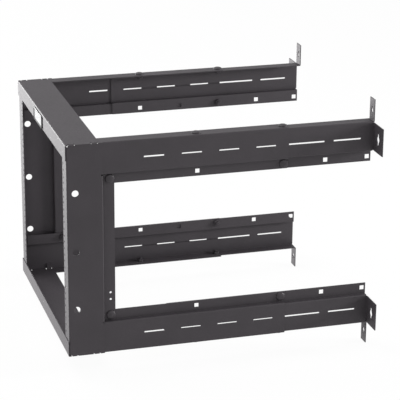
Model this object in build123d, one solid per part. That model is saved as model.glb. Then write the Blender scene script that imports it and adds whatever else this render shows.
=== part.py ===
from build123d import *
import os
from math import hypot

os.makedirs("parts", exist_ok=True)

# Wall mount rack: an open frame for 19-inch equipment, carried off a wall by four
# side arms. Each arm is a front arm with a rear arm nested inside it, bolted together
# at the chosen depth. All pieces are bent from one gauge of steel sheet.
#
# Working axes: X to the right seen from the front, Y towards the wall with the wall
# face at 0, Z up with 0 at half height. The last step moves the origin to the datum.

# Sheet
sheet = 2.0
bend_inside = 0.6
bend_outside = bend_inside + sheet

# Front frame
bay_width = 450.0
post_face = 40.0
bay_margin = 7.5
lip_height = 34.5
plate_depth = 75.0

# Equipment grid
unit = 44.45
units = 9
hole_inset = 7.55
hole_pitch = 15.875
first_hole = 6.35
tapped_bore = 5.0

# Posts
post_depth = 81.5
post_strip = 27.0
side_hole = 15.0
side_hole_setback = 20.5
side_hole_pitch = 3 * unit
lacing_hole = 5.0
lacing_hole_pitch = hole_pitch
lacing_hole_height = 112.5
corner_relief_depth = 4.6
corner_relief_height = 4.2
joggle_gap = 2.0
joggle_relief = 3.5
joggle_relief_depth = 4.0

# Crossmember tabs
tab_setback = 8.5
tab_spacing = 49.75
tab_width = 11.5
tab_length = 15.0
tab_notch = 2.0
tab_notch_depth = 4.0

# Arms
step_in = 11.0
arm_web = 72.0
arm_strip = 24.0
front_flange = 32.0
rear_flange = 27.0
front_arm_setback = 10.0
flange_gap = 0.3
rear_arm_nose = 69.0

# Bolt holes for square-necked bolts, and slots
bolt_square = 10.3
bolt_pitch = 98.0
bolt_line = 13.0
bolt_setback = 98.0
wall_bolt_setback = 11.0
flange_bolt_lead = 2.0
front_arm_steps = 4
rear_arm_steps = 4
steps_pulled_out = 2
front_arm_tail = 8.0
slot_height = 3.7
slot_line = 39.0
slot_pitch = 84.0
slot_length = 45.4
slot_count = 4
first_slot = 194.0
long_slot_from_wall = 115.7
long_slot_nose = 30.3
end_slot_from_wall = 31.0
end_slot_length = 64.0

# Wall flanges and tabs
wall_flange = 55.0
keyhole_from_bend = 27.5
keyhole_round = 15.0
keyhole_slot = 8.0
keyhole_length = 28.0
wall_tab = 50.0
tab_keyhole_round = 10.0
tab_keyhole_slot = 5.5
tab_keyhole_length = 15.0
tab_keyhole_above = 26.0
datum_from_edge = 8.0

# Positions worked out from the sizes above
bolt_steps = front_arm_steps + steps_pulled_out
front = -(bolt_setback + bolt_steps * bolt_pitch + wall_bolt_setback)
half_width = bay_width / 2 + post_face
half_height = units * unit / 2 + bay_margin + lip_height
web_x = half_width - sheet
strip_x = web_x - step_in
ledge_z = half_height - arm_web
strip_z = ledge_z - arm_strip
bolt_z = ledge_z - bolt_line
slot_z = half_height - slot_line
flange_bolt_x = web_x - front_flange / 2
front_arm_back = front + bolt_setback + front_arm_steps * bolt_pitch + front_arm_tail
rear_arm_reach = wall_bolt_setback + rear_arm_steps * bolt_pitch + rear_arm_nose
shared_steps = range(steps_pulled_out, front_arm_steps + 1, 2)
tab_fronts = (front + tab_setback, front + tab_setback + tab_spacing)
wall_flange_low = ledge_z + sheet + bend_outside
wall_flange_high = half_height - sheet - bend_outside
keyhole_x = web_x - sheet + keyhole_from_bend
keyhole_z = (wall_flange_low + wall_flange_high) / 2
cutter = 6 * sheet


def sheet_section(*corners):
    """Closed section of a sheet that lies on the left of a run of corners."""
    directions = []
    for (x0, y0), (x1, y1) in zip(corners, corners[1:]):
        run = hypot(x1 - x0, y1 - y0)
        directions.append(((x1 - x0) / run, (y1 - y0) / run))
    near, far, near_radii, far_radii = [], [], [], []
    last = len(corners) - 1
    for i, (x, y) in enumerate(corners):
        before = directions[max(i - 1, 0)]
        after = directions[min(i, last - 1)]
        scale = sheet / (1 + before[0] * after[0] + before[1] * after[1])
        near.append((x, y))
        far.append((x - scale * (before[1] + after[1]), y + scale * (before[0] + after[0])))
        turn = before[0] * after[1] - before[1] * after[0]
        inner, outer = (bend_inside, bend_outside) if i not in (0, last) else (0, 0)
        near_radii.append(outer if turn > 0 else inner)
        far_radii.append(inner if turn > 0 else outer)
    outline = near + far[::-1]
    return make_face(FilletPolyline(*outline, radius=near_radii + far_radii[::-1], close=True))


def along_x(section, start, end):
    """Extrude a section drawn in Y and Z from one X to another."""
    return extrude(Plane.YZ.offset(start) * section, amount=end - start)


def along_y(section, start, end):
    """Extrude a section drawn in X and Z from one Y to another."""
    return extrude(Plane.XZ.offset(-start) * section, amount=start - end)


def along_z(section, start, end):
    """Extrude a section drawn in X and Y from one Z to another."""
    return extrude(Plane.XY.offset(start) * section, amount=end - start)


def block(low, high):
    """A box between two corners."""
    size = [b - a for a, b in zip(low, high)]
    return Pos(*low) * Box(*size, align=Align.MIN)


def turned(part):
    """The same piece turned half way round the depth axis."""
    return part.rotate(Axis.Y, 180)


def square_hole_x(y, z):
    """Cutter for a square bolt hole through a strip that faces X."""
    return Pos(strip_x, y, z) * Box(cutter, bolt_square, bolt_square)


def square_hole_z(y):
    """Cutter for a square bolt hole through a flange that faces Z."""
    return Pos(flange_bolt_x, y - flange_bolt_lead, half_height) * Box(bolt_square, bolt_square, cutter)


def web_slot(centre_y, length):
    """Cutter for a round-ended slot in an arm's web."""
    place = Plane.YZ.offset(web_x) * Pos(centre_y, slot_z)
    return extrude(place * SlotOverall(length, slot_height), amount=cutter / 2, both=True)


def make_post():
    """Right post: front flange with the tapped holes, web, joggle and rear strip."""
    face_y = front + sheet
    web_back = front + post_depth
    back_x = strip_x + sheet
    corner = [(bay_width / 2, face_y), (half_width, face_y)]
    joggle = [(half_width, web_back), (back_x, web_back), (back_x, web_back + post_strip)]
    plain = sheet_section(*corner, (half_width, web_back))
    joggle_z = ledge_z - joggle_gap
    plain_z = joggle_z + joggle_relief
    post = along_z(sheet_section(*corner, (half_width, web_back - joggle_relief_depth)), -plain_z, plain_z)
    post += along_z(sheet_section(*corner, *joggle), -joggle_z, joggle_z)
    post += along_z(plain, plain_z, half_height) + along_z(plain, -half_height, -plain_z)
    relief_y = face_y + corner_relief_depth
    relief = Box(bay_width, 2 * corner_relief_depth, 2 * corner_relief_height)
    notch = Box(cutter, tab_notch, 2 * sheet)
    for side in (-1, 1):
        post -= Pos(half_width, relief_y - corner_relief_depth, side * half_height) * relief
        post -= square_hole_x(front + bolt_setback, side * bolt_z)
        for tab_front in tab_fronts:
            for y in (tab_front - tab_notch / 2, tab_front + tab_width + tab_notch / 2):
                post -= Pos(half_width, y, side * half_height) * notch
    bore = Cylinder(tapped_bore / 2, cutter, rotation=(90, 0, 0))
    for number in range(units):
        unit_top = units * unit / 2 - number * unit
        for step in range(3):
            z = unit_top - first_hole - step * hole_pitch
            post -= Pos(bay_width / 2 + hole_inset, face_y, z) * bore
    round_hole = Cylinder(side_hole / 2, cutter, rotation=(0, 90, 0))
    for step in (-1, 0, 1):
        post -= Pos(half_width, front + side_hole_setback, step * side_hole_pitch) * round_hole
    small_hole = Cylinder(lacing_hole / 2, cutter, rotation=(0, 90, 0))
    for side in (-1, 1):
        z = -lacing_hole_height + side * lacing_hole_pitch / 2
        post -= Pos(strip_x, front + bolt_setback, z) * small_hole
    return post


def make_crossmember():
    """Top crossmember: plate, front lip and two tabs down inside each post."""
    corners = [(front + plate_depth, half_height), (front, half_height), (front, half_height - lip_height)]
    member = along_x(sheet_section(*corners), -half_width, half_width)
    plate_end = web_x - sheet
    relief_y = front + sheet + corner_relief_depth
    tab_corners = [(plate_end, half_height - tab_length), (plate_end, half_height),
                   (plate_end - tab_notch_depth, half_height)]
    tab = sheet_section(*tab_corners)
    for side in (-1, 1):
        over = sorted((side * web_x, side * (half_width + sheet)))
        member -= block((over[0], relief_y, half_height - cutter), (over[1], front + post_depth, half_height + sheet))
        for start in tab_fronts:
            end = start + tab_width
            notch = sorted((side * (plate_end - tab_notch_depth), side * (half_width + sheet)))
            low = (notch[0], start - tab_notch, half_height - cutter)
            member -= block(low, (notch[1], end + tab_notch, half_height + sheet))
            piece = along_y(tab, start, end)
            member += piece if side > 0 else mirror(piece, about=Plane.YZ)
    return member


def arm_section(inset, flange):
    """Section of an arm: strip, ledge, web and flange, set in from the outer arm."""
    return sheet_section((strip_x - inset, strip_z), (strip_x - inset, ledge_z + inset),
                         (web_x - inset, ledge_z + inset), (web_x - inset, half_height - inset),
                         (web_x - inset - flange, half_height - inset))


def make_front_arm():
    """Upper right front arm, the outer of the two that nest."""
    front_end = front + front_arm_setback
    arm = along_y(arm_section(0, front_flange), front_end, front_arm_back)
    flange_front = front + plate_depth + flange_gap
    arm -= block((0, front_end - sheet, half_height - bend_outside),
                 (half_width, flange_front, half_height + sheet))
    for step in range(slot_count):
        arm -= web_slot(front + first_slot + step * slot_pitch, slot_length)
    for step in range(0, front_arm_steps + 1, 2):
        arm -= square_hole_x(front + bolt_setback + step * bolt_pitch, bolt_z)
    for step in shared_steps:
        arm -= square_hole_z(front + bolt_setback + step * bolt_pitch)
    return arm


def make_rear_arm():
    """Upper right rear arm, nested in the front arm and turned out onto the wall."""
    inner_web = web_x - sheet
    top = half_height - sheet
    bend_start = -bend_outside
    lap = bend_start - sheet
    arm = along_y(arm_section(sheet, rear_flange), -rear_arm_reach, bend_start)
    flange = sheet_section((inner_web, lap), (inner_web, -sheet), (inner_web + wall_flange, -sheet))
    arm += along_z(flange, wall_flange_low, wall_flange_high)
    tab = along_x(sheet_section((lap, top - sheet), (0, top - sheet), (0, top + wall_tab)),
                  inner_web - rear_flange, inner_web)
    arm += tab - block((inner_web - bend_outside, lap - sheet, top - 2 * sheet),
                       (half_width, bend_start, top + sheet))
    opening = Circle(keyhole_round / 2) + SlotOverall(keyhole_length, keyhole_slot, rotation=90)
    arm -= extrude(Plane.XZ * Pos(keyhole_x, keyhole_z) * opening, amount=cutter, both=True)
    reach = tab_keyhole_length - tab_keyhole_round / 2 - tab_keyhole_slot / 2
    opening = Circle(tab_keyhole_round / 2)
    opening += Pos(0, reach / 2) * SlotCenterToCenter(reach, tab_keyhole_slot, rotation=90)
    place = Plane.XZ * Pos(inner_web - rear_flange / 2, top + tab_keyhole_above - reach / 2)
    arm -= extrude(place * opening, amount=cutter, both=True)
    long_slot = rear_arm_reach - long_slot_from_wall - long_slot_nose
    arm -= web_slot(-long_slot_from_wall - long_slot / 2, long_slot)
    arm -= web_slot(-end_slot_from_wall - end_slot_length / 2, end_slot_length)
    for step in range(rear_arm_steps + 1):
        arm -= square_hole_x(-wall_bolt_setback - step * bolt_pitch, bolt_z)
    for step in shared_steps:
        arm -= square_hole_z(front + bolt_setback + step * bolt_pitch)
    return arm


# Pieces in place
post = make_post()
crossmember = make_crossmember()
pieces = {
    "right_post": post,
    "left_post": turned(post),
    "top_crossmember": crossmember,
    "bottom_crossmember": turned(crossmember),
}
for name, arm in (("front_arm", make_front_arm()), ("rear_arm", make_rear_arm())):
    pieces["upper_right_" + name] = arm
    pieces["lower_left_" + name] = turned(arm)
    pieces["lower_right_" + name] = mirror(arm, about=Plane.XY)
    pieces["upper_left_" + name] = mirror(arm, about=Plane.YZ)

# Datum: on the wall face of the lower left flange, between its edge and its keyhole
datum = Pos(keyhole_x, 0, wall_flange_low + datum_from_edge)
for name, piece in pieces.items():
    export_step(datum * piece, os.path.join("parts", name + ".step"))
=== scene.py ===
"""Wall mount rack: powder coat, bolts, blank plate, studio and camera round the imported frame."""

import logging
import math
from dataclasses import dataclass, field
from enum import Enum
from typing import Iterator

import bpy
from mathutils import Matrix, Vector


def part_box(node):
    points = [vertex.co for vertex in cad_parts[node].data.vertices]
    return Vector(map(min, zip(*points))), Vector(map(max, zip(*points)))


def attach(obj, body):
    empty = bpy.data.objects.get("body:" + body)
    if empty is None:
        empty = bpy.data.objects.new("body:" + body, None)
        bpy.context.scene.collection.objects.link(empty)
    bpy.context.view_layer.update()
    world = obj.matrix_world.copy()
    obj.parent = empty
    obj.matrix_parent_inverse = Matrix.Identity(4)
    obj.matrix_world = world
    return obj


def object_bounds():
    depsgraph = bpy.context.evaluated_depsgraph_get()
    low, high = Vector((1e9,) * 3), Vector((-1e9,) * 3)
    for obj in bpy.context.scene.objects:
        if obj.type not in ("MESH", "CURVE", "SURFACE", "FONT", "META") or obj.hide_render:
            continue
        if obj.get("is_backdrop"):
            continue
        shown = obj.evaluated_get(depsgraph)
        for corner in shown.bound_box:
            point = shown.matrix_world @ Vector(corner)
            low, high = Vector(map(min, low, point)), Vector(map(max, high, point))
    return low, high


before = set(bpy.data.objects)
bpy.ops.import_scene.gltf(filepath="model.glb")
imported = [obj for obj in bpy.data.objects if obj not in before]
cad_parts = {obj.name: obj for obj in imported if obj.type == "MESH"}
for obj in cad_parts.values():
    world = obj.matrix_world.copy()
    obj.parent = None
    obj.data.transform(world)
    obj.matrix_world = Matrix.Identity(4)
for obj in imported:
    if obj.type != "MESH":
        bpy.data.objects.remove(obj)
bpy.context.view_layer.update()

log = logging.getLogger("wall_mount_rack")
MM = 0.001
BODY = "root"
TOUCH = 1e-6  # heights and points closer than this count as one
FLAT = 0.9  # a face whose normal has this share along Z lies flat
NOISE_RANGE = (0.3, 0.7)  # most of a noise's values lie between these
NO_STRETCH = (1.0, 1.0, 1.0)
WHITE = (1.0, 1.0, 1.0, 1.0)
Colour = tuple[float, float, float]
Point = tuple[float, float, float]
Grain = tuple[float, float]  # a noise's waves to the metre and its finer layers


class Side(Enum):
    """Which side of the rack a piece is on, seen from the front."""

    RIGHT = 1
    LEFT = -1


class Level(Enum):
    """Whether a piece is on the upper or the lower arms."""

    UPPER = 1
    LOWER = -1


@dataclass
class NodeSheet:
    """The node tree of a material or a world, with short ways to add and link nodes."""

    owner: bpy.types.Material | bpy.types.World

    def __post_init__(self) -> None:
        """Start from an empty tree."""
        self.owner.use_nodes = True
        self.owner.node_tree.nodes.clear()

    def add(self, kind: str, **settings: object) -> bpy.types.Node:
        """Add a node.

        Args:
            kind: The node's type, such as ShaderNodeTexNoise.
            settings: Properties of the node, or input sockets by name with _ for a space.

        Returns:
            The new node.
        """
        node = self.owner.node_tree.nodes.new(kind)
        for key, value in settings.items():
            if hasattr(node, key):
                setattr(node, key, value)
            else:
                node.inputs[key.replace("_", " ")].default_value = value
        return node

    def link(self, source: bpy.types.NodeSocket, target: bpy.types.NodeSocket) -> None:
        """Link an output socket to an input socket."""
        self.owner.node_tree.links.new(source, target)

    def grain(self, grain: Grain, stretch: Point = NO_STRETCH) -> bpy.types.NodeSocket:
        """Noise that is fixed to the object.

        Args:
            grain: Its waves to the metre and how many finer layers it has.
            stretch: Scale of the noise along X, Y and Z.

        Returns:
            The socket that carries values from 0 to 1.
        """
        place = self.add("ShaderNodeTexCoord")
        mapping = self.add("ShaderNodeMapping")
        mapping.inputs["Scale"].default_value = stretch
        noise = self.add("ShaderNodeTexNoise", Scale=grain[0], Detail=grain[1])
        self.link(place.outputs["Object"], mapping.inputs["Vector"])
        self.link(mapping.outputs["Vector"], noise.inputs["Vector"])
        return noise.outputs["Fac"]

    def spread(self, value: bpy.types.NodeSocket, low: float, high: float) -> bpy.types.NodeSocket:
        """Map the middle of a noise's values to a range.

        Args:
            value: The noise.
            low: Result where the noise is low.
            high: Result where it is high.

        Returns:
            The socket that carries the result.
        """
        mapped = self.add("ShaderNodeMapRange")
        names = ("From Min", "From Max", "To Min", "To Max")
        for name, number in zip(names, (*NOISE_RANGE, low, high)):
            mapped.inputs[name].default_value = number
        self.link(value, mapped.inputs["Value"])
        return mapped.outputs["Result"]

    def blend(self, value: bpy.types.NodeSocket,
              first: Colour, second: Colour) -> bpy.types.NodeSocket:
        """Run from one colour to another with a noise.

        Args:
            value: The noise.
            first: Colour where the noise is low.
            second: Colour where it is high.

        Returns:
            The socket that carries the colour.
        """
        ramp = self.add("ShaderNodeValToRGB")
        for stop, place, colour in zip(ramp.color_ramp.elements, NOISE_RANGE, (first, second)):
            stop.position = place
            stop.color = (*colour, 1.0)
        self.link(value, ramp.inputs["Fac"])
        return ramp.outputs["Color"]

    def relief(self, shader: bpy.types.Node, height: bpy.types.NodeSocket,
               strength: float, depth: float) -> None:
        """Raise a surface by a noise.

        Args:
            shader: The surface's shader.
            height: The noise.
            strength: How much of the relief is used, 0 to 1.
            depth: The relief's height in metres.
        """
        bump = self.add("ShaderNodeBump", Strength=strength, Distance=depth)
        self.link(height, bump.inputs["Height"])
        self.link(bump.outputs["Normal"], shader.inputs["Normal"])

    def ray_share(self, *kinds: str) -> bpy.types.NodeSocket:
        """Find whether a ray is of one of some kinds.

        Args:
            kinds: Outputs of the light path, such as Is Camera Ray.

        Returns:
            The socket that carries 1 for a ray of one of the kinds, and 0 for any other.
        """
        path = self.add("ShaderNodeLightPath")
        share = path.outputs[kinds[0]]
        for kind in kinds[1:]:
            either = self.add("ShaderNodeMath", operation="ADD", use_clamp=True)
            self.link(share, either.inputs[0])
            self.link(path.outputs[kind], either.inputs[1])
            share = either.outputs[0]
        return share

    def output(self, shader: bpy.types.Node) -> bpy.types.Material | bpy.types.World:
        """Link a shader to the output of the material or world.

        Args:
            shader: The last shader of the tree.

        Returns:
            The material or world that the tree belongs to.
        """
        kind = "World" if isinstance(self.owner, bpy.types.World) else "Material"
        out = self.add(f"ShaderNodeOutput{kind}")
        self.link(shader.outputs[0], out.inputs["Surface"])
        return self.owner


@dataclass(frozen=True)
class Finish:
    """A surface whose tone, gloss and relief follow noises that are fixed to the object."""

    name: str
    light: Colour
    dark: Colour
    roughness: tuple[float, float]
    metallic: float
    ior: float
    tone: Grain
    gloss: Grain
    texture: Grain
    strength: float
    depth: float

    def material(self) -> bpy.types.Material:
        """Make the material from its three noises.

        Returns:
            The new material.
        """
        sheet = NodeSheet(bpy.data.materials.new(self.name))
        shader = sheet.add("ShaderNodeBsdfPrincipled", Metallic=self.metallic, IOR=self.ior)
        tone = sheet.blend(sheet.grain(self.tone), self.dark, self.light)
        sheet.link(tone, shader.inputs["Base Color"])
        gloss = sheet.spread(sheet.grain(self.gloss), *self.roughness)
        sheet.link(gloss, shader.inputs["Roughness"])
        sheet.relief(shader, sheet.grain(self.texture), self.strength, self.depth)
        return sheet.output(shader)


@dataclass(frozen=True)
class PowderCoat(Finish):
    """Charcoal powder coat on the bent sheet: cloudy tone, fine grain and orange-peel relief."""

    name: str = "charcoal_powder_coat"
    light: Colour = (0.046, 0.040, 0.046)
    dark: Colour = (0.039, 0.034, 0.039)
    roughness: tuple[float, float] = (0.58, 0.66)
    metallic: float = 0.0
    ior: float = 1.43
    tone: Grain = (14.0, 4.0)
    gloss: Grain = (260.0, 3.0)
    texture: Grain = (1400.0, 2.0)
    strength: float = 0.35
    depth: float = 0.2 * MM


@dataclass(frozen=True)
class BlackZinc(Finish):
    """Black plating on the bolts and nuts: a cloudy tone and faint tool marks."""

    name: str = "black_zinc_plating"
    light: Colour = (0.042, 0.036, 0.042)
    dark: Colour = (0.029, 0.025, 0.029)
    roughness: tuple[float, float] = (0.38, 0.50)
    metallic: float = 0.1
    ior: float = 1.42
    tone: Grain = (220.0, 4.0)
    gloss: Grain = (700.0, 2.0)
    texture: Grain = (2400.0, 1.0)
    strength: float = 0.2
    depth: float = 0.1 * MM


@dataclass(frozen=True)
class ShadedTappedSteel(BlackZinc):
    """Duller metal inside the tapped holes, painted darker than the bolt plating: the near-black
    tone is painted shade that darkens the holes.
    """

    name: str = "tapped_steel"
    # painted shade: these near-black tones stand in for the shade inside the tapped holes
    light: Colour = (0.016, 0.015, 0.016)
    dark: Colour = (0.009, 0.008, 0.009)
    roughness: tuple[float, float] = (0.55, 0.70)


@dataclass(frozen=True)
class BlackPlastic(Finish):
    """Satin black body of the blank plate: moulded plastic with a faint grain."""

    name: str = "plate_body_black"
    light: Colour = (0.020, 0.020, 0.021)
    dark: Colour = (0.013, 0.013, 0.014)
    roughness: tuple[float, float] = (0.36, 0.46)
    metallic: float = 0.0
    ior: float = 1.46
    tone: Grain = (160.0, 3.0)
    gloss: Grain = (900.0, 2.0)
    texture: Grain = (1800.0, 2.0)
    strength: float = 0.2
    depth: float = 0.1 * MM


@dataclass(frozen=True)
class BrushedPlate:
    """Bright brushed metal on the face of the blank plate."""

    name: str = "brushed_plate_face"
    light: Colour = (0.80, 0.80, 0.80)
    dark: Colour = (0.66, 0.66, 0.67)
    roughness: tuple[float, float] = (0.14, 0.22)
    metallic: float = 0.8
    lines: Grain = (90.0, 3.0)
    stretch: Point = (1.0, 30.0, 30.0)
    strength: float = 0.15
    depth: float = 0.1 * MM

    def material(self) -> bpy.types.Material:
        """Make the material: fine lines along the plate in tone, gloss and relief.

        Returns:
            The new material.
        """
        sheet = NodeSheet(bpy.data.materials.new(self.name))
        shader = sheet.add("ShaderNodeBsdfPrincipled", Metallic=self.metallic)
        lines = sheet.grain(self.lines, self.stretch)
        sheet.link(sheet.blend(lines, self.dark, self.light), shader.inputs["Base Color"])
        sheet.link(sheet.spread(lines, *self.roughness), shader.inputs["Roughness"])
        sheet.relief(shader, lines, self.strength, self.depth)
        return sheet.output(shader)


def start_piece() -> None:
    """Deselect everything, so that an operator acts on the new piece alone."""
    bpy.ops.object.select_all(action="DESELECT")


def select_level(height: float, facing: float = 0.0) -> None:
    """In edit mode, select the faces whose middle lies at one height.

    Args:
        height: The height.
        facing: 1 or -1 for faces that point up or down only, 0 for any.
    """
    bpy.ops.mesh.select_all(action="DESELECT")
    bpy.ops.mesh.select_mode(type="FACE")
    bpy.ops.object.mode_set(mode="OBJECT")
    for face in bpy.context.object.data.polygons:
        flat = facing == 0.0 or face.normal.z * facing > FLAT
        face.select = abs(face.center.z - height) <= TOUCH and flat
    bpy.ops.object.mode_set(mode="EDIT")


def move_extrude(distance: float) -> None:
    """Extrude the selected faces along Z by a distance."""
    bpy.ops.mesh.extrude_region_move(TRANSFORM_OT_translate={"value": (0.0, 0.0, distance)})


def join_pieces(main_piece: bpy.types.Object, *others: bpy.types.Object) -> None:
    """Join pieces to one that stays active.

    Args:
        main_piece: The piece that the others are joined to.
        others: The pieces that become part of it.
    """
    start_piece()
    for piece in (*others, main_piece):
        piece.select_set(True)
    bpy.context.view_layer.objects.active = main_piece
    bpy.ops.object.join()


def close_ends() -> None:
    """Fill the open ends of the active wound ridge and turn its faces outwards."""
    bpy.ops.object.mode_set(mode="EDIT")
    bpy.ops.mesh.select_all(action="SELECT")
    bpy.ops.mesh.remove_doubles(threshold=TOUCH)
    bpy.ops.mesh.select_mode(type="EDGE")
    bpy.ops.mesh.select_all(action="DESELECT")
    bpy.ops.mesh.select_non_manifold()
    bpy.ops.mesh.fill_holes(sides=3)
    bpy.ops.mesh.select_all(action="SELECT")
    bpy.ops.mesh.normals_make_consistent(inside=False)
    bpy.ops.object.mode_set(mode="OBJECT")


def wind_ridge(radius: float, tooth: float, start: float, pitch: float,
               turns: int, steps: int) -> bpy.types.Object:
    """Wind a closed three-sided ridge round the Z axis, as a thread.

    Args:
        radius: Distance of the ridge's middle from the axis.
        tooth: Size of the ridge.
        start: Height where it starts.
        pitch: Rise in a turn.
        turns: Number of turns.
        steps: Steps in a turn.

    Returns:
        The ridge.
    """
    start_piece()
    bpy.ops.mesh.primitive_circle_add(vertices=3, radius=tooth, fill_type="NOTHING",
                                      location=(radius, 0, start), rotation=(math.pi / 2, 0, 0))
    bpy.ops.object.transform_apply(location=True, rotation=True)
    ridge = bpy.context.object
    screw = ridge.modifiers.new("wound", "SCREW")
    screw.axis = "Z"
    screw.steps = screw.render_steps = steps
    screw.screw_offset = pitch
    screw.iterations = turns
    screw.use_merge_vertices = True
    bpy.ops.object.modifier_apply(modifier=screw.name)
    close_ends()
    return ridge


def finish_piece(name: str, material: bpy.types.Material,
                 smooth: float = 35.0) -> bpy.types.Object:
    """Apply the active piece's place, shade it and give it its finish.

    Args:
        name: The piece's name.
        material: Its finish.
        smooth: Edges flatter than this angle in degrees are shaded smooth.

    Returns:
        The piece, with its object at the origin.
    """
    piece = bpy.context.object
    bpy.ops.object.transform_apply(location=True, rotation=True, scale=True)
    bpy.ops.object.shade_smooth_by_angle(angle=math.radians(smooth))
    piece.name = piece.data.name = name
    if not piece.data.materials:
        piece.data.materials.append(material)
    return piece


def copy_piece(master: bpy.types.Object, name: str, place: Matrix) -> bpy.types.Object:
    """Copy a piece with its own mesh.

    Args:
        master: The piece to copy.
        name: The copy's name.
        place: Where the copy's mesh goes.

    Returns:
        The copy, with its object at the origin.
    """
    copy = master.copy()
    copy.data = master.data.copy()
    copy.data.transform(place)
    copy.name = copy.data.name = name
    bpy.context.scene.collection.objects.link(copy)
    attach(copy, BODY)
    return copy


def pointing(direction: Vector, spot: Vector) -> Matrix:
    """Place that turns a piece's Z axis to a direction and moves its origin to a spot."""
    return Matrix.Translation(spot) @ direction.to_track_quat("Z", "Y").to_matrix().to_4x4()


@dataclass
class RackPlan:
    """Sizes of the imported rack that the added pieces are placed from, in metres."""

    sheet: float = 2.0 * MM
    strip_bolt_drop: float = 85.0 * MM
    arm_step: float = 11.0 * MM
    flange_bolt_inset: float = 18.0 * MM
    flange_bolt_lead: float = 2.0 * MM
    post_bolt_setback: float = 98.0 * MM
    bolt_pitch: float = 98.0 * MM
    strip_bolt_step: int = 4
    flange_bolt_steps: tuple[int, ...] = (2, 4)
    unit: float = 44.45 * MM
    unit_count: int = 9
    holes_per_unit: int = 3
    first_hole: float = 6.35 * MM
    hole_pitch: float = 15.875 * MM
    hole_columns: float = 465.1 * MM
    middle_x: float = field(init=False)
    middle_z: float = field(init=False)
    front: float = field(init=False)
    half_width: float = field(init=False)
    half_height: float = field(init=False)

    def __post_init__(self) -> None:
        """Read the frame's middle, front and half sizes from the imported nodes."""
        top_low, top_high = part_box("top_crossmember")
        bottom_low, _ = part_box("bottom_crossmember")
        self.middle_x = (top_low[0] + top_high[0]) / 2
        self.middle_z = (bottom_low[2] + top_high[2]) / 2
        self.front = top_low[1]
        self.half_width = (top_high[0] - top_low[0]) / 2
        self.half_height = (top_high[2] - bottom_low[2]) / 2

    def spot(self, side: Side, x: float, setback: float, z: float) -> Vector:
        """Point at x to one side of the middle, setback behind the front and z above the middle."""
        return Vector((self.middle_x + side.value * x, self.front + setback, self.middle_z + z))


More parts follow.
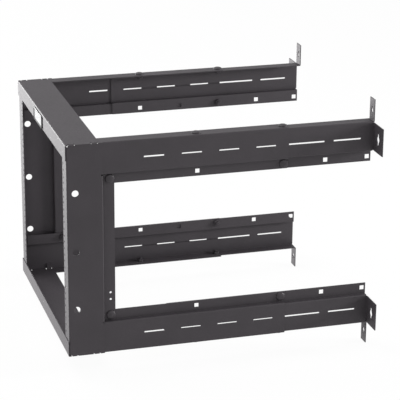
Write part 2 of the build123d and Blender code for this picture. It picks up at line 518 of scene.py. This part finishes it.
@dataclass
class ArmBolts:
    """The square-necked bolts and nuts that pin the arms to the posts and to each other."""

    plan: RackPlan
    finish: BlackZinc
    head_radius: float = 10.3 * MM
    head_height: float = 4.6 * MM
    head_segments: int = 40
    head_rings: int = 24
    rim: float = 0.9 * MM
    neck: float = 9.8 * MM
    neck_depth: float = 3.6 * MM
    neck_bevel: float = 0.5 * MM
    shank_radius: float = 4.3 * MM
    shank_length: float = 11.4 * MM
    tip_length: float = 0.7 * MM
    tip_taper: float = 0.82
    round_sides: int = 28
    thread_pitch: float = 1.25 * MM
    thread_depth: float = 0.55 * MM
    thread_steps: int = 24
    nut_flats: float = 14.3 * MM
    nut_height: float = 4.4 * MM
    nut_sides: int = 6
    washer_radius: float = 8.8 * MM
    washer_height: float = 1.0 * MM
    washer_sides: int = 36
    rim_bevel: float = 0.12
    bore_gap: float = 0.1 * MM
    drill_reach: float = 4.0  # the drill's length for each unit of a ring's height

    def head(self, material: bpy.types.Material) -> bpy.types.Object:
        """Domed head with a short rim and the square neck under it, seated at height 0.

        Args:
            material: The bolt's finish.

        Returns:
            The head and neck as one piece.
        """
        start_piece()
        bpy.ops.mesh.primitive_uv_sphere_add(segments=self.head_segments,
                                             ring_count=self.head_rings,
                                             radius=self.head_radius)
        bpy.ops.object.mode_set(mode="EDIT")
        bpy.ops.mesh.select_all(action="SELECT")
        bpy.ops.mesh.bisect(plane_co=(0, 0, 0), plane_no=(0, 0, 1), use_fill=True, clear_inner=True)
        bpy.ops.mesh.select_all(action="SELECT")
        dome = (self.head_height - self.rim) / self.head_radius
        bpy.ops.transform.resize(value=(1.0, 1.0, dome), center_override=(0, 0, 0))
        bpy.ops.transform.translate(value=(0, 0, self.rim))
        select_level(self.rim, -1)
        move_extrude(-self.rim)
        bpy.ops.object.mode_set(mode="OBJECT")
        dome_piece = bpy.context.object
        start_piece()
        bpy.ops.mesh.primitive_cube_add(size=1.0, location=(0, 0, -self.neck_depth / 2))
        bpy.ops.transform.resize(value=(self.neck, self.neck, self.neck_depth))
        bpy.ops.object.mode_set(mode="EDIT")
        bpy.ops.mesh.select_all(action="SELECT")
        bpy.ops.mesh.bevel(offset=self.neck_bevel, segments=2)
        bpy.ops.object.mode_set(mode="OBJECT")
        join_pieces(dome_piece, bpy.context.object)
        return finish_piece("bolt_head", material)

    def shank(self, material: bpy.types.Material) -> bpy.types.Object:
        """Round shank below the seat, chamfered at its tip and wound with a real thread.

        Args:
            material: The bolt's finish.

        Returns:
            The shank and its thread as one piece.
        """
        core = self.shank_radius - self.thread_depth
        start_piece()
        bpy.ops.mesh.primitive_cylinder_add(vertices=self.round_sides, radius=core,
                                            depth=self.shank_length,
                                            location=(0, 0, -self.shank_length / 2))
        bpy.ops.object.transform_apply(location=True)
        bpy.ops.object.mode_set(mode="EDIT")
        select_level(-self.shank_length)
        move_extrude(-self.tip_length)
        bpy.ops.transform.resize(value=(self.tip_taper, self.tip_taper, 1.0),
                                 center_override=(0, 0, -self.shank_length))
        bpy.ops.object.mode_set(mode="OBJECT")
        rod = bpy.context.object
        turns = int((self.shank_length - self.neck_depth) / self.thread_pitch) - 1
        ridge = wind_ridge(core, self.thread_depth, -self.shank_length + self.thread_pitch / 2,
                           self.thread_pitch, turns, self.thread_steps)
        join_pieces(rod, ridge)
        return finish_piece("bolt_shank", material)

    def nut(self, material: bpy.types.Material) -> bpy.types.Object:
        """Hexagon nut and washer, hanging below height 0 with the hole through them.

        Args:
            material: Their finish.

        Returns:
            The nut and washer as one piece.
        """
        washer = self.ring("washer", self.washer_sides, self.washer_radius,
                           self.washer_height, 0.0, material)
        nut = self.ring("nut", self.nut_sides, self.nut_flats / math.sqrt(3.0),
                        self.nut_height, -self.washer_height, material)
        join_pieces(nut, washer)
        return finish_piece("nut_and_washer", material)

    def ring(self, name: str, corners: int, radius: float, height: float, top: float,
             material: bpy.types.Material) -> bpy.types.Object:
        """A prism with bevelled rims and a round hole for the shank.

        Args:
            name: The piece's name.
            corners: Number of sides of the prism.
            radius: Distance from its axis to its corners.
            height: Its height.
            top: Height of its upper face.
            material: Its finish.

        Returns:
            The piece.
        """
        middle = (0, 0, top - height / 2)
        start_piece()
        bpy.ops.mesh.primitive_cylinder_add(vertices=corners, radius=radius, depth=height,
                                            location=middle)
        bpy.ops.object.transform_apply(location=True)
        bpy.ops.object.mode_set(mode="EDIT")
        select_level(top - height)
        bpy.ops.mesh.bevel(offset=self.rim_bevel * height, segments=2)
        bpy.ops.object.mode_set(mode="OBJECT")
        piece = bpy.context.object
        start_piece()
        bpy.ops.mesh.primitive_cylinder_add(vertices=self.round_sides,
                                            radius=self.shank_radius + self.bore_gap,
                                            depth=self.drill_reach * height, location=middle)
        drill = bpy.context.object
        start_piece()
        piece.select_set(True)
        bpy.context.view_layer.objects.active = piece
        bore = piece.modifiers.new("bore", "BOOLEAN")
        bore.operation = "DIFFERENCE"
        bore.solver = "EXACT"
        bore.object = drill
        bpy.ops.object.modifier_apply(modifier=bore.name)
        bpy.data.objects.remove(drill, do_unlink=True)
        return finish_piece(name, material)

    def places(self) -> Iterator[tuple[str, Matrix]]:
        """Go through the bolts of the four arms.

        Returns:
            Each bolt's name, and the place that puts its seat on the outer sheet, head outwards.
        """
        plan = self.plan
        back = plan.post_bolt_setback
        for level in Level:
            for side in Side:
                name = f"{level.name}_{side.name}".lower()
                strip_z = level.value * (plan.half_height - plan.strip_bolt_drop)
                outwards = Vector((side.value, 0, 0))
                step = plan.half_width - plan.arm_step
                yield name + "_post_bolt", pointing(outwards, plan.spot(side, step, back, strip_z))
                setback = back + plan.strip_bolt_step * plan.bolt_pitch
                spot = plan.spot(side, step - plan.sheet, setback, strip_z)
                yield name + "_strip_bolt", pointing(outwards, spot)
                outwards = Vector((0, 0, level.value))
                flange_x = plan.half_width - plan.flange_bolt_inset
                for number, steps in enumerate(plan.flange_bolt_steps, 1):
                    setback = back + steps * plan.bolt_pitch - plan.flange_bolt_lead
                    spot = plan.spot(side, flange_x, setback, level.value * plan.half_height)
                    yield f"{name}_flange_bolt_{number}", pointing(outwards, spot)

    def build(self) -> None:
        """Model one bolt and one nut, and copy them to every place."""
        material = self.finish.material()
        head, shank, nut = self.head(material), self.shank(material), self.nut(material)
        join_pieces(head, shank)
        under_both_sheets = Matrix.Translation((0, 0, -2 * self.plan.sheet))
        for name, place in self.places():
            copy_piece(head, name, place)
            copy_piece(nut, name.replace("bolt", "nut"), place @ under_both_sheets)
            log.info("%s and its nut", name)
        for master in (head, nut):
            bpy.data.objects.remove(master, do_unlink=True)


@dataclass
class TappedThreads:
    """Thread in each tapped hole of the posts."""

    plan: RackPlan
    finish: ShadedTappedSteel
    bore_radius: float = 2.5 * MM
    start: float = 0.3 * MM
    pitch: float = 0.8 * MM
    tooth: float = 0.35 * MM
    turns: int = 2
    steps: int = 14

    def master(self, material: bpy.types.Material) -> bpy.types.Object:
        """One wound ridge inside a hole whose axis is Z, from the front face back."""
        wind_ridge(self.bore_radius, self.tooth, -self.start, -self.pitch, self.turns, self.steps)
        return finish_piece("tapped_thread", material)

    def build(self) -> None:
        """Copy the thread to every hole of a column and join each column to one piece."""
        material = self.finish.material()
        master = self.master(material)
        plan = self.plan
        top = plan.unit_count * plan.unit / 2
        levels = [top - row * plan.unit - plan.first_hole - step * plan.hole_pitch
                  for row in range(plan.unit_count) for step in range(plan.holes_per_unit)]
        for side in Side:
            column = []
            for number, z in enumerate(levels):
                spot = plan.spot(side, plan.hole_columns / 2, plan.sheet, z)
                place = pointing(Vector((0, -1, 0)), spot)
                column.append(copy_piece(master, f"thread_{number}", place))
            join_pieces(*column)
            column[0].name = column[0].data.name = f"{side.name.lower()}_tapped_threads"
            log.info("%s", column[0].name)
        bpy.data.objects.remove(master, do_unlink=True)


@dataclass
class BlankPlate:
    """Blank plate on the top lip: a black body with a sunk bright face."""

    plan: RackPlan
    body_finish: BlackPlastic
    face_finish: BrushedPlate
    width: float = 88.0 * MM
    height: float = 28.0 * MM
    thickness: float = 3.0 * MM
    border: float = 1.3 * MM
    sunk: float = 1.2 * MM
    corner: float = 1.5 * MM
    corner_segments: int = 4
    edge: float = 0.4 * MM
    smooth: float = 30.0
    left_of_middle: float = 16.0 * MM
    below_top: float = 19.2 * MM

    def build(self) -> None:
        """Model the plate lying flat, then stand it on the lip."""
        start_piece()
        bpy.ops.mesh.primitive_cube_add(size=1.0, location=(0, 0, self.thickness / 2))
        bpy.ops.transform.resize(value=(self.width, self.height, self.thickness))
        bpy.ops.object.transform_apply(location=True, scale=True)
        bpy.ops.object.mode_set(mode="EDIT")
        bpy.ops.mesh.select_mode(type="EDGE")
        bpy.ops.mesh.select_all(action="DESELECT")
        bpy.ops.object.mode_set(mode="OBJECT")
        mesh = bpy.context.object.data
        for edge in mesh.edges:
            a, b = (mesh.vertices[i].co for i in edge.vertices)
            edge.select = abs(a.z - b.z) > self.thickness / 2
        bpy.ops.object.mode_set(mode="EDIT")
        bpy.ops.mesh.bevel(offset=self.corner, segments=self.corner_segments)
        select_level(self.thickness, 1)
        bpy.ops.mesh.bevel(offset=self.edge, segments=2)
        select_level(self.thickness, 1)
        bpy.ops.mesh.inset(thickness=self.border)
        move_extrude(-self.sunk)
        bpy.ops.object.mode_set(mode="OBJECT")
        mesh.materials.append(self.body_finish.material())
        mesh.materials.append(self.face_finish.material())
        floor = self.thickness - self.sunk
        for face in mesh.polygons:
            inside = abs(face.center.z - floor) < TOUCH and face.normal.z > FLAT
            face.material_index = 1 if inside else 0
        plate = finish_piece("blank_plate", mesh.materials[0], self.smooth)
        plan = self.plan
        spot = Vector((plan.middle_x - self.left_of_middle, plan.front,
                       plan.middle_z + plan.half_height - self.below_top))
        plate.data.transform(Matrix.Translation(spot) @ Matrix.Rotation(math.pi / 2, 4, "X"))
        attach(plate, BODY)
        log.info("%s", plate.name)


@dataclass
class SheetPieces:
    """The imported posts, crossmembers and arms."""

    finish: PowderCoat

    def dress(self) -> None:
        """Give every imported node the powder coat."""
        material = self.finish.material()
        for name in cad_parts:
            node = bpy.data.objects[name]
            for slot in node.material_slots:
                slot.material = material
            log.info("%s", name)


@dataclass(frozen=True)
class Lamp:
    """One soft square lamp that faces the middle of the rack."""

    name: str
    offset: Point
    size: float
    watts: float

    def build(self, middle: Vector) -> None:
        """Add the lamp at its offset from the rack's middle.

        Args:
            middle: The rack's middle.
        """
        data = bpy.data.lights.new(self.name, "AREA")
        data.shape = "SQUARE"
        data.size = self.size
        data.energy = self.watts
        lamp = bpy.data.objects.new(self.name, data)
        lamp.matrix_world = pointing(Vector(self.offset), middle + Vector(self.offset))
        lamp.visible_camera = False
        bpy.context.scene.collection.objects.link(lamp)


@dataclass
class Studio:
    """Pale floor, white surround and soft lamps."""

    floor_gap: float = 0.5 * MM
    floor_size: float = 60.0
    floor_colour: Colour = (0.88, 0.88, 0.88)
    ambient: float = 0.37
    white_share: float = 0.95
    lamps: tuple[Lamp, ...] = (
        Lamp("key_lamp", (-1.0, -2.0, 4.2), 2.6, 120.0),
        Lamp("fill_lamp", (3.8, 0.4, 2.0), 2.4, 10.0),
        Lamp("front_lamp", (-5.0, -3.3, 0.1), 0.8, 575.0),
        Lamp("rim_lamp", (1.0, 3.6, 0.9), 0.8, 130.0),
    )

    def floor(self) -> None:
        """Add a floor just under the rack that is white to the camera and keeps its shadow."""
        low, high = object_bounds()
        start_piece()
        spot = ((low[0] + high[0]) / 2, (low[1] + high[1]) / 2, low[2] - self.floor_gap)
        bpy.ops.mesh.primitive_plane_add(size=self.floor_size, location=spot)
        floor = bpy.context.object
        floor.name = "floor"
        sheet = NodeSheet(bpy.data.materials.new("pale_floor"))
        share = sheet.add("ShaderNodeMath", operation="MULTIPLY")
        share.inputs[1].default_value = self.white_share
        sheet.link(sheet.ray_share("Is Camera Ray", "Is Glossy Ray"), share.inputs[0])
        paint = sheet.add("ShaderNodeBsdfDiffuse", Color=(*self.floor_colour, 1.0))
        white = sheet.add("ShaderNodeEmission", Color=WHITE, Strength=1.0)
        mix = sheet.add("ShaderNodeMixShader")
        sheet.link(share.outputs[0], mix.inputs[0])
        sheet.link(paint.outputs[0], mix.inputs[1])
        sheet.link(white.outputs[0], mix.inputs[2])
        floor.data.materials.append(sheet.output(mix))
        floor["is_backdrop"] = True

    def surround(self) -> None:
        """Add a world that is white to the camera and in gloss, and a plain level of light."""
        world = bpy.data.worlds.new("white_surround")
        bpy.context.scene.world = world
        sheet = NodeSheet(world)
        level = sheet.add("ShaderNodeMapRange")
        level.inputs["To Min"].default_value = self.ambient
        level.inputs["To Max"].default_value = 1.0
        rays = sheet.ray_share("Is Camera Ray", "Is Glossy Ray", "Is Transmission Ray")
        sheet.link(rays, level.inputs["Value"])
        background = sheet.add("ShaderNodeBackground", Color=WHITE)
        sheet.link(level.outputs["Result"], background.inputs["Strength"])
        sheet.output(background)

    def build(self) -> None:
        """Set up the floor, the surround and the lamps."""
        low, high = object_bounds()
        middle = (Vector(low) + Vector(high)) / 2
        self.floor()
        self.surround()
        for lamp in self.lamps:
            lamp.build(middle)
        log.info("studio")


@dataclass
class PhotoCamera:
    """Camera at the photograph's place, found by fitting its points to the rack's sizes."""

    place: Point = (4.0458, -1.4227, 1.5500)
    azimuth: float = 73.69
    elevation: float = 19.28
    roll: float = 0.42
    lens: float = 160.1
    sensor: float = 36.0
    clip: tuple[float, float] = (0.1, 200.0)

    def build(self) -> None:
        """Create the camera and make it the scene's camera."""
        turn, tip, roll = (math.radians(v) for v in (self.azimuth, self.elevation, self.roll))
        ahead = Vector((-math.sin(turn) * math.cos(tip), math.cos(turn) * math.cos(tip),
                        -math.sin(tip)))
        right = Vector((math.cos(turn), math.sin(turn), 0.0))
        above = right.cross(ahead)
        right, above = (right * math.cos(roll) + above * math.sin(roll),
                        above * math.cos(roll) - right * math.sin(roll))
        data = bpy.data.cameras.new("photo_camera")
        data.sensor_width = self.sensor
        data.lens = self.lens
        data.clip_start, data.clip_end = self.clip
        camera = bpy.data.objects.new("photo_camera", data)
        turned = Matrix((right, above, -ahead)).transposed().to_4x4()
        camera.matrix_world = Matrix.Translation(self.place) @ turned
        bpy.context.scene.collection.objects.link(camera)
        bpy.context.scene.camera = camera
        log.info("camera")


def main() -> None:
    """Build the camera, the finishes, the added pieces and the studio in order."""
    logging.basicConfig(level=logging.INFO, format="%(name)s: %(message)s")
    bpy.context.scene.view_settings.view_transform = "Standard"
    PhotoCamera().build()
    SheetPieces(PowderCoat()).dress()
    plan = RackPlan()
    ArmBolts(plan, BlackZinc()).build()
    TappedThreads(plan, ShadedTappedSteel()).build()
    BlankPlate(plan, BlackPlastic(), BrushedPlate()).build()
    Studio().build()


if __name__ == "__main__":
    main()
